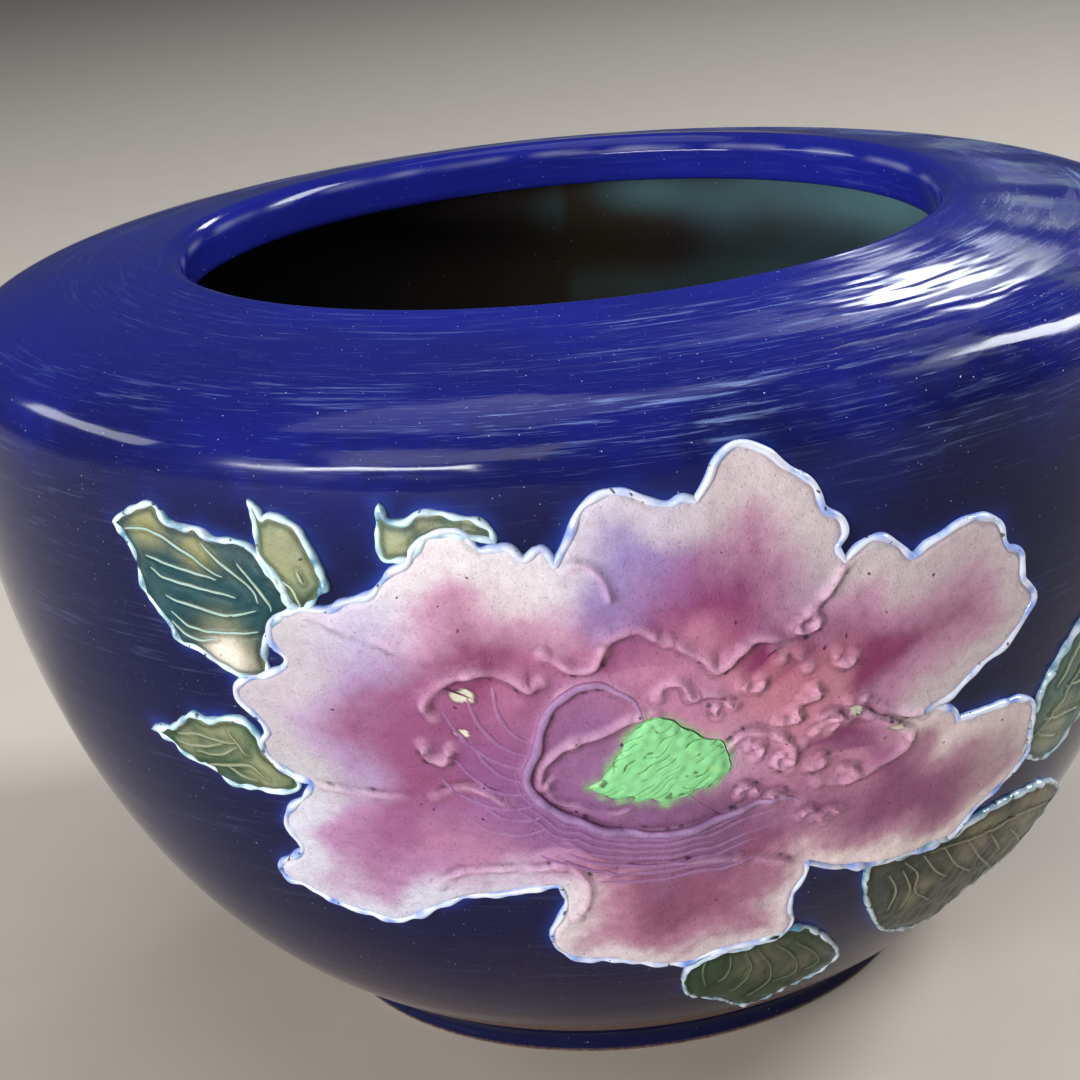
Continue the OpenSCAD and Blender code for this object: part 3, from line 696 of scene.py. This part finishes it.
# Whiskers leave the curl to the left and bend up
along = np.linspace(0, 1, 5)
threads = [fromHeart(whiskers["from"] + (whiskers["length"] + 4 * (k % 3)) * along,
                     whiskers["start"] + whiskers["step"] * k + whiskers["bend"] * along ** 2)
           for k in range(whiskers["count"])]
eyeEdge = [(-5, 141), (-2, 143), (2, 149), (5, 154), (10, 159), (14, 159), (18, 156), (23, 153),
           (29, 149), (30, 142), (26, 138), (20, 136), (14, 134), (7, 136), (1, 137)]
curlEdge = [(9, 161), (3, 168), (-1, 170), (-7, 169), (-12, 165), (-15, 160), (-17, 153), (-20, 147),
            (-20, 142), (-17, 137), (-12, 132), (-7, 130), (-2, 127), (7, 125), (17, 127), (24, 131)]
chips = [(-33, 169, 3.2), (-35, 158, 2.0), (63, 152, 1.6), (75, 144, 1.8)]  # bare spots: x, y, radius
# Petal by petal: edge, middle, deep, and how far from the edge each gives way to the next
petalTints = [
    {"edge": (0.54, 0.48, 0.54), "middle": (0.24, 0.17, 0.40),
     "deep": (0.25, 0.07, 0.17), "at": (6, 14, 27)},
    {"edge": (0.57, 0.48, 0.50), "middle": (0.44, 0.23, 0.33),
     "deep": (0.175, 0.014, 0.076), "at": (11, 19, 29)},
    {"edge": (0.55, 0.46, 0.48), "middle": (0.46, 0.23, 0.34),
     "deep": (0.21, 0.027, 0.100), "at": (8, 15, 26)},
    {"edge": (0.78, 0.64, 0.64), "middle": (0.43, 0.21, 0.30),
     "deep": (0.24, 0.072, 0.160), "at": (5, 11, 20)},
    {"edge": (0.64, 0.54, 0.57), "middle": (0.39, 0.17, 0.26),
     "deep": (0.23, 0.070, 0.132), "at": (6, 13, 24)},
    {"edge": (0.56, 0.54, 0.62), "middle": (0.40, 0.20, 0.36),
     "deep": (0.28, 0.095, 0.215), "at": (6, 13, 25)},
    {"edge": (0.42, 0.38, 0.40), "middle": (0.34, 0.22, 0.37),
     "deep": (0.235, 0.065, 0.155), "at": (9, 17, 29)},
    {"edge": (0.62, 0.56, 0.58), "middle": (0.46, 0.24, 0.34),
     "deep": (0.19, 0.035, 0.10), "at": (11, 17, 27)}]
dabs = [  # further spots of colour on the outer petals: x, y, width, strength, colour
    (-56, 186, 11, 0.6, (0.38, 0.34, 0.56)), (7, 198, 11, 0.6, (0.32, 0.24, 0.46)),
    (24, 195, 9, 0.6, (0.24, 0.06, 0.20)), (34, 186, 13, 0.5, (0.23, 0.045, 0.15)),
    (116, 122, 12, 0.7, (0.46, 0.35, 0.37)), (50, 186, 9, 0.4, (0.36, 0.19, 0.33)),
    (92, 180, 12, 0.5, (0.46, 0.30, 0.37)), (-34, 118, 12, 0.5, (0.40, 0.17, 0.30)),
    (-80, 106, 10, 0.6, (0.50, 0.42, 0.50)), (-78, 168, 11, 0.4, (0.50, 0.38, 0.47))]
innerTints = [  # x, y, how wide, colour
    (10, 177, 12, (0.45, 0.17, 0.27)), (-22, 181, 12, (0.44, 0.16, 0.28)),
    (41, 161, 13, (0.46, 0.165, 0.215)), (60, 144, 12, (0.52, 0.22, 0.32)),
    (-3, 163, 8, (0.19, 0.08, 0.21)), (22, 164, 8, (0.42, 0.19, 0.32)),
    (33, 146, 6, (0.52, 0.30, 0.46)), (6, 120, 9, (0.19, 0.08, 0.19)),
    (28, 119, 11, (0.17, 0.07, 0.16)), (-32, 152, 11, (0.22, 0.065, 0.17)),
    (52, 126, 9, (0.30, 0.12, 0.22)), (-34, 120, 10, (0.42, 0.18, 0.29)),
    (-8, 147, 6, (0.25, 0.11, 0.23)), (-28, 136, 9, (0.20, 0.075, 0.22)),
    (0, 106, 12, (0.28, 0.115, 0.22)), (62, 110, 12, (0.30, 0.13, 0.21)),
    (-14, 124, 9, (0.19, 0.075, 0.21))]
# The crest colour is a painted highlight on the folds, the ridge and thread colours a painted highlight
# on the curl ridge and threads; the crease colour and the dark line round a knob's foot are partly pooled
# glaze, partly painted shade
slip = {"crestHighlight": (0.62, 0.36, 0.50), "creasePoolAndShade": (0.10, 0.028, 0.06), "pit": (0.02, 0.012, 0.02),
        "knob": (0.62, 0.33, 0.46), "knobFootPoolAndShade": (0.12, 0.035, 0.07), "wash": (0.20, 0.42, 0.18),
        "chipEdge": (0.05, 0.035, 0.03), "chip": (0.57, 0.55, 0.42), "ridge": (0.35, 0.23, 0.44),
        "threadHighlight": (0.33, 0.17, 0.34), "beadLow": (0.16, 0.26, 0.66), "beadHigh": (0.60, 0.60, 0.70)}


def tintsIn(x, y):  # the inner colours, each weighted by a bell round its own spot
    total, weight = 0, 1e-4
    for cx, cy, wide, colour in innerTints:
        w = np.exp(-((x - cx) ** 2 + (y - cy) ** 2) / (2 * wide ** 2)) + 1e-6
        total, weight = total + w[..., None] * colour, weight + w
    return total / np.asarray(weight)[..., None]


def foldsAt(x, y):
    # Height is the largest fold's height * exp(-(distance / width)^2), with the width of its side
    height, crestHighlight, creasePoolAndShade = np.zeros((3, *x.shape))
    for knots, high, outer, inner in folds:
        line = smoothLine(knots, 6)
        low, top = line.min(0) - 8, line.max(0) + 8
        here = (x > low[0]) & (x < top[0]) & (y > low[1]) & (y < top[1])
        if not here.any():
            continue
        px, py = x[here], y[here]
        gap, side, along = nearTo(px, py, line)
        inwards = side == nearTo(*heart[:, None], line)[1]
        wobble = 1 + 0.3 * ripple(px, py, 9, 21)
        taper = rise(along, 0, 0.1) * rise(1 - along, 0, 0.1) * wobble
        value = high * taper * np.exp(-(gap / np.where(inwards, inner, 0.8 * outer)) ** 2)
        height[here] = np.maximum(height[here], value)
        away = np.where(inwards, gap, -gap)
        # Two marks along each fold: a painted highlight on its crest, and a darker line at the foot of
        # its steep side, partly pooled glaze and partly painted shade
        for mark, at, wide in ((crestHighlight, -0.5, 1.1), (creasePoolAndShade, 1.5, 0.75)):
            strength = taper * np.exp(-((away - at) / wide) ** 2) * min(1, high)
            mark[here] = np.maximum(mark[here], strength)
    return height, crestHighlight, creasePoolAndShade


# The eye is combed in lines that climb to the right; slope is in radians
eye = {"slope": 0.5, "grooveStep": 2 * np.pi / 3, "grooveDepth": 0.22, "cushion": 0.6, "points": 260}
eyeLine = evenly(smoothLine(eyeEdge, 8, True), eye["points"], True)
eyeLine = eyeLine + 0.35 * ripple(*eyeLine.T, 6, 40)[:, None]


def chipAt(x, y):  # 0 at the middle of the nearest chip and 1 at its ragged edge
    near = np.min([np.hypot(x - cx, (y - cy) * 1.6) / r for cx, cy, r in chips], 0)
    return near + 0.14 * ripple(x, y, 4, 16)


def flowerSkin(x, y, margin=None, tints=None, share=None):
    # Height in millimetres off the wall and colour at each point
    fold, crestHighlight, creasePoolAndShade = foldsAt(x, y)
    height = petals["plate"] + 0.25 * ripple(x, y, 34, 11) + 0.07 * ripple(x, y, 7, 12) + fold
    colour = tintsIn(x, y)
    if margin is not None:
        gap = nearTo(x, y, margin)[0]
        soft = gap + 1.5 * ripple(x, y, 26, 13) + 0.5 * ripple(x, y, 6, 14)
        edge, middle, deep = (tints[:, None, i:i + 3] for i in (0, 3, 6))
        a, b, c = (tints[:, None, i] for i in (9, 10, 11))
        outer = blend(blend(edge, middle, rise(soft, a * 0.5, b)), deep, rise(soft, b * 0.8, c))
        for cx, cy, wide, strength, tone in dabs:
            outer = blend(outer, tone, strength * spot(x, y, cx, cy, wide))
        colour = blend(colour, outer, rise(share + 0.04 * ripple(x, y, 24, 15), 0.42, 0.60))
        height = height * rise(gap, -0.6, 2.2) ** 0.5
    # Painted highlight on the crests, and the crease colour, partly pooled glaze and partly painted shade
    colour = blend(colour, slip["crestHighlight"], np.clip(crestHighlight, 0, 1) * 0.42)
    colour = blend(colour, slip["creasePoolAndShade"], np.clip(creasePoolAndShade, 0, 1) * 0.46)
    pit = np.clip(creasePoolAndShade, 0, 1) * rise(ripple(x, y, 3.2, 18), 1.0, 1.5)
    colour = blend(colour, slip["pit"], pit * 0.9)
    # A knob's height is height * exp(-(distance / radius)^3), with a dark line round its foot, partly
    # pooled glaze and partly painted shade
    far = [(np.hypot(x - cx, y - cy) / r, high) for cx, cy, r, high in knobs]
    knob = np.max([high * np.exp(-gap ** 3) for gap, high in far], 0)
    height = height + knob
    colour = blend(colour, slip["knob"], np.clip(knob, 0, 1) * 0.4)
    around = np.max([np.exp(-((gap - 1.25) / 0.22) ** 2) for gap, _ in far], 0)
    colour = blend(colour, slip["knobFootPoolAndShade"], around * 0.4 * rise(ripple(x, y, 5, 17), -0.4, 0.9))
    wash = np.exp(-(nearTo(x, y, eyeLine[::5])[0] / 1.6) ** 2) * (0.55 + 0.35 * ripple(x, y, 5, 19))
    colour = blend(colour, slip["wash"], np.clip(wash, 0, 1))
    chip = chipAt(x, y)
    bare = 1 - rise(chip, 0.8, 1.0)
    colour = blend(colour, slip["chipEdge"], 0.7 * np.exp(-((chip - 1.08) / 0.13) ** 2))
    colour = blend(colour, slip["chip"], bare)
    return height - bare * 0.3, np.clip(colour, 0.005, 0.9)


def polar(points):
    return np.hypot(*(points - heart).T), np.unwrap(np.arctan2(*(points - heart).T[::-1]))


def marginOf(i):  # one petal's free edge, evenly stepped, always turning clockwise about the heart
    line = smoothLine(petalEdges[i], 8)
    line = evenly(line, int(runOf(line)[-1] / petals["rowStep"]))
    far, angle = polar(line)
    angle = np.minimum.accumulate(angle - 1e-5 * np.arange(len(angle)))
    return heart + np.stack([far * np.cos(angle), far * np.sin(angle)], -1)


def ringOf(margin):
    # The inner end of each row: a ring round the heart, with angles half evened out along it
    far, angle = polar(margin)
    u = np.linspace(0, 1, len(margin))
    even = angle[0] + (angle[-1] - angle[0]) * u
    return fromHeart(petals["ringRadius"], np.degrees(0.5 * (angle + even)))


def rowTints(i, margin):
    # Each row's tints lean to the next petal's as 0.5 * exp(-(distance from the join / 8)^1.5)
    own, before, after = (np.hstack(list(petalTints[k % len(petalTints)].values()))
                          for k in (i, i - 1, i + 1))
    run = runOf(margin)
    lean = [0.5 * np.exp(-(gap / 8) ** 1.5)[:, None] for gap in (run, run[-1] - run)]
    return own * (1 - lean[0] - lean[1]) + before * lean[0] + after * lean[1]


margins = [marginOf(i) for i in range(len(petalEdges))]
wholeEdge = np.vstack([margin[:-1] for margin in margins])[::5]
wholeEdge = np.vstack([wholeEdge, wholeEdge[:1]])
rings = [ringOf(margin) for margin in margins]
columnShare = np.linspace(0, 1, 96) ** 1.15  # closer together towards the free edge
for i, (margin, ring) in enumerate(zip(margins, rings)):
    x, y = (margin[:, None, k] * (1 - columnShare) + ring[:, None, k] * columnShare for k in (0, 1))
    share = np.hypot(x - heart[0], y - heart[1]) / polar(margin)[0][:, None]
    h, colour = flowerSkin(x, y, wholeEdge, rowTints(i, margin), share)
    addSlab(f"outer_petal_{i + 1}", x, y, h, finishes["petal"], {"tint": colour})


def wobbled(line, width, size, seed):  # bead widths that swell and pinch along the line
    return width * (1 + 0.15 * ripple(line[:, 0], line[:, 1], size, seed))


def beadTint(low, high, seed):  # one colour at the foot of a bead and another on its crest
    def tintOf(x, y, up):
        drift = 0.5 * ripple(x, y, 9, seed)
        return blend(low, high, np.clip(rise(up, 0.15, 0.85) * (0.75 + drift), 0, 1))
    return tintOf


def beadBase(x, y):  # how far off the wall a bead starts
    return np.full(x.shape, 0.2)


for i, margin in enumerate(margins):
    line = evenly(margin, len(margin))
    widths = wobbled(line, petals["beadWidth"], 8, 31)
    heights = widths / petals["beadWidth"] * petals["beadHeight"]
    addTube(f"petal_bead_{i + 1}", [line], [widths], [heights], beadBase, finishes["bead"],
            beadTint(slip["beadLow"], slip["beadHigh"], 32))
print("petals and their beads made")

curlLine = evenly(smoothLine(curlEdge, 8), 200)


def boundary(angle, withCurl):  # distance from the heart to the eye's or the curl's edge
    far, at = polar(eyeLine)
    at = at % (2 * np.pi)
    order = np.argsort(at)
    eyeFar = np.interp(angle % (2 * np.pi), at[order], far[order], period=2 * np.pi)
    if not withCurl:
        return eyeFar
    far, at = polar(curlLine)
    curl = np.interp(angle % (2 * np.pi), at % (2 * np.pi), far, left=0, right=0)
    return np.maximum(curl, eyeFar + 0.3)


def sector(outerEdge, innerFar, angle, columns):
    share = np.linspace(0, 1, columns)
    innerEdge = fromHeart(innerFar, np.degrees(angle))
    return (outerEdge[:, None, k] * (1 - share) + innerEdge[:, None, k] * share for k in (0, 1))


for i, group in enumerate([(0, 1), (2,), (3,), (4,), (5,), (6, 7)]):
    ring = np.vstack([*(rings[g][:-1] for g in group[:-1]), rings[group[-1]]])[::2]
    if sum(len(rings[g]) for g in group) % 2 == 0:
        ring = np.vstack([ring, rings[group[-1]][-1:]])
    angle = polar(ring)[1]
    x, y = sector(ring, boundary(angle, True), angle, 64)
    h, colour = flowerSkin(x, y)
    addSlab(f"inner_petal_{i + 1}", x, y, h, finishes["petal"], {"tint": colour})
angle = np.linspace(polar(curlLine)[1][0], polar(curlLine)[1][-1], 240)
edge = fromHeart(boundary(angle, True), np.degrees(angle))
x, y = sector(edge, boundary(angle, False), angle, 48)
h, colour = flowerSkin(x, y)
addSlab("curl_petal", x, y, h, finishes["petal"], {"tint": colour})

share = np.linspace(0.03, 1, 60)[:, None]
x, y = (heart[k] + share * (eyeLine[:, k] - heart[k]) for k in (0, 1))
across = (y - heart[1]) * np.cos(eye["slope"]) - (x - heart[0]) * np.sin(eye["slope"])
across = across + 0.5 * ripple(x, y, 9, 41)
grooves = np.sin(2 * np.pi * across / eye["grooveStep"] + 1.3 * ripple(x, y, 14, 42))
comb = 1 - (1 - rise(grooves, -1.0, -0.82)) * rise(ripple(x, y, 10, 43), -0.9, 0.4)
h = petals["plate"] + eye["cushion"] * rise(1 - share, 0, 0.15) + eye["grooveDepth"] * comb
h = h + 0.10 * ripple(x, y, 4, 44)
addPad("flower_eye", x, y, h, finishes["eye"], {"comb": comb})


def skinBase(x, y):  # threads start a little inside the flower's skin
    return flowerSkin(x, y)[0] - 0.15


def threadWidths(line, width):  # a thread thins to a quarter at its ends
    u = np.linspace(0, 1, len(line))
    thin = 0.25 + 0.75 * np.sqrt(np.clip(np.sin(np.pi * u), 0, 1))
    return width * thin * (1 + 0.08 * ripple(line[:, 0], line[:, 1], 9, 51))


def threadTint(colour, crestColour):  # one colour low on a thread and another on its crest
    def tintOf(x, y, up):
        return blend(colour, crestColour, rise(up, 0.3, 1.0) * 0.8)
    return tintOf


def slipHighlightTint(share, crestColour):  # the ground's own colour, leaning to another one at the crest: a painted highlight
    def tintOf(x, y, up):
        return blend(0.95 * tintsIn(x, y), crestColour, rise(up, 0.2, 1.0) * share)
    return tintOf


ridge = evenly(smoothLine(windingFold, 10), 320)
# The curl ridge and the threads are painted lighter on their crests: painted highlight
addTube("curl_ridge", [ridge], [threadWidths(ridge, 2.7)], [threadWidths(ridge, 1.0)], skinBase,
        finishes["petal"], slipHighlightTint(0.6, slip["ridge"]))
lines = [evenly(smoothLine(line, 8), 90) for line in threads]
for gap, start, end in combs:  # the ridge moved out along its normal
    part = ridge[int(start * len(ridge)):int(end * len(ridge))]
    lines.append(evenly(part + gap * outward(part) + 0.3 * ripple(*part.T, 12, 52)[:, None], 130))
addTube("petal_threads", lines, [threadWidths(line, 1.5) for line in lines],
        [threadWidths(line, 0.5) for line in lines], skinBase, finishes["petal"],
        slipHighlightTint(0.4, slip["threadHighlight"]))
print("heart, curl, eye and threads made")


def leafSkin(leaf, x, y, edges):
    # Plumped up inside its edge, with a groove and a darker line along the edge and each vein: along the
    # edge partly the leaf's dark-green border, partly painted shade at the bead's foot; along each vein
    # painted shade in its groove
    gap = np.minimum(*(nearTo(x, y, edge)[0] for edge in edges))
    height = leafForm["plate"] + leafForm["pillow"] * rise(gap, 0, 5) + 0.12 * ripple(x, y, 8, 61)
    khaki = np.max([spot(x, y, *where) for where in leaf["khakiAt"]], 0)
    khaki = np.clip(khaki * 1.3 + 0.07 * ripple(x, y, 16, 62), 0, 1)
    colour = blend(leaf["green"], leaf["khaki"], khaki)
    for where in leaf["creamAt"]:
        colour = blend(colour, leafForm["cream"], spot(x, y, *where, 3))
    # Darker just inside the bead: partly the leaf's dark-green border, partly painted shade
    colour = blend(colour, np.multiply(leaf["green"], 0.4), 0.7 * np.exp(-((gap - 1.3) / 0.8) ** 2))
    for vein in leaf["veins"]:
        near = nearTo(x, y, np.asarray(vein, float))[0]
        height = height - 0.25 * np.exp(-((near - 1.2) / 0.8) ** 2)
        shade = 0.35 * np.exp(-((near - 1.0) / 0.6) ** 2)
        colour = blend(colour, np.multiply(leaf["green"], 0.35), shade)
    return height, colour * (1 + 0.08 * ripple(x, y, 14, 63))[..., None]


for i, leaf in enumerate(leaves):
    number = i + 1
    edges = [smoothLine(edge, 8) for edge in leaf["edges"]]
    rows = int(max(runOf(edge)[-1] for edge in edges) / leafForm["rowStep"])
    upper, lower = (evenly(edge, rows) for edge in edges)
    share = np.linspace(0, 1, leafForm["columns"])
    x, y = (upper[1:-1, None, k] * (1 - share) + lower[1:-1, None, k] * share for k in (0, 1))
    h, colour = leafSkin(leaf, x, y, edges)
    addSlab(f"leaf_{number}", x, y, h, finishes["leaf"], {"tint": colour})
    loop = evenly(np.vstack([edges[0], edges[1][-2:0:-1]]), 2 * rows, True)
    widths = wobbled(loop, leafForm["beadWidth"], 5, 71)
    heights = widths / leafForm["beadWidth"] * leafForm["beadHeight"]
    addTube(f"leaf_bead_{number}", [loop], [widths], [heights], beadBase, finishes["bead"],
            beadTint(leafForm["beadLow"], leaf["bead"], 72), True)
    if f"leaf_veins_{number}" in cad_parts:
        lines = [evenly(smoothLine(vein, 6), 60) for vein in leaf["veins"]]
        widths, heights = ([threadWidths(line, leafForm[key]) for line in lines]
                           for key in ("veinWidth", "veinHeight"))
        addTube(f"leaf_veins_{number}", lines, widths, heights,
                lambda px, py: leafSkin(leaf, px, py, edges)[0] - 0.1, finishes["leaf"],
                threadTint(np.multiply(leaf["khaki"], 0.6), leaf["vein"]))
print("leaves made")


sheet = bpy.data.meshes.new("floorSheet")
sheet.from_pydata([(-9, -9, 0), (9, -9, 0), (9, 9, 0), (-9, 9, 0)], [], [(0, 1, 2, 3)])
floorFinish = Finish("paleFloor", {"Specular IOR Level": 0.2, "Roughness": 0.8})
grain = floorFinish.noise(floorFinish.place(), 30.0, 3.0)
sheet.materials.append(floorFinish.give(
    Base_Color=floorFinish.mix(grain, (0.45, 0.40, 0.345, 1), (0.49, 0.435, 0.375, 1))))
stage = bpy.data.objects.new("floorSheet", sheet)
bpy.context.scene.collection.objects.link(stage)

lights = {  # where each soft box stands, what it looks at, its sides, its power and its colour
    "overhead": {"at": (-0.3, 0.2, 2.4), "to": (0, 0, 0.2), "sides": (2.0, 1.4), "power": 20,
                 "colour": (0.94, 0.97, 1.0)},
    "front": {"at": (-0.95, -2.15, 1.3), "to": (0, 0, 0.12), "sides": (1.7, 0.9), "power": 24,
              "colour": (1.0, 0.97, 0.93)},
    "bandStrip": {"at": (-1.5, -1.9, 0.62), "to": (0, 0, 0.2), "sides": (1.9, 0.13), "power": 60,
                  "colour": (0.93, 0.97, 1.0)},
    "leftStrip": {"at": (-2.0, 0.25, 0.95), "to": (0, 0, 0.2), "sides": (1.3, 0.3), "power": 14,
                  "colour": (0.93, 0.97, 1.0)},
    "rightSky": {"at": (1.75, 0.42, 1.52), "to": (0, 0, 0.2), "sides": (0.55, 1.0), "power": 58,
                 "colour": (0.92, 0.96, 1.0)},
    "backSky": {"at": (0.74, 2.3, 1.46), "to": (0.1, 0, 0.2), "sides": (0.44, 0.30), "power": 6,
                "colour": (0.90, 0.95, 1.0)},
}


def aim(at, to, roll=0.0):  # a frame at one point that looks at another
    ahead = np.subtract(to, at) / np.linalg.norm(np.subtract(to, at))
    right = np.cross(ahead, (0, 0, 1))
    right /= np.linalg.norm(right)
    up = np.cross(right, ahead)
    right, up = (np.cos(roll) * right + np.sin(roll) * up, np.cos(roll) * up - np.sin(roll) * right)
    axes = np.stack([right, up, -ahead], -1)
    return Matrix([[*row, at[i]] for i, row in enumerate(axes)] + [[0, 0, 0, 1]])


for name, box in lights.items():
    lamp = bpy.data.lights.new(name, "AREA")
    lamp.shape, lamp.size, lamp.size_y = "RECTANGLE", *box["sides"]
    lamp.energy, lamp.color = box["power"], box["colour"]
    holder = bpy.data.objects.new(name, lamp)
    holder.matrix_world = aim(box["at"], box["to"])
    bpy.context.scene.collection.objects.link(holder)
world = bpy.data.worlds.new("studio")
world.use_nodes = True
world.node_tree.nodes["Background"].inputs["Color"].default_value = (0.60, 0.72, 0.90, 1)
world.node_tree.nodes["Background"].inputs["Strength"].default_value = 0.11
bpy.context.scene.world = world
bpy.context.scene.view_settings.view_transform = "Standard"

# The camera's place in metres, its turns in radians and its lens in millimetres
view = {"at": (0, -0.6692, 0.3649), "pitch": 0.343, "roll": -0.098, "yaw": 0.022, "lens": 76.64}
camera = bpy.data.cameras.new("camera")
camera.lens, camera.sensor_width = view["lens"], 36
holder = bpy.data.objects.new("camera", camera)
level = np.cos(view["pitch"])
ahead = (-np.sin(view["yaw"]) * level, np.cos(view["yaw"]) * level, -np.sin(view["pitch"]))
holder.matrix_world = aim(view["at"], np.add(view["at"], ahead), view["roll"])
bpy.context.scene.collection.objects.link(holder)
bpy.context.scene.camera = holder
print("floor, lights and camera made")
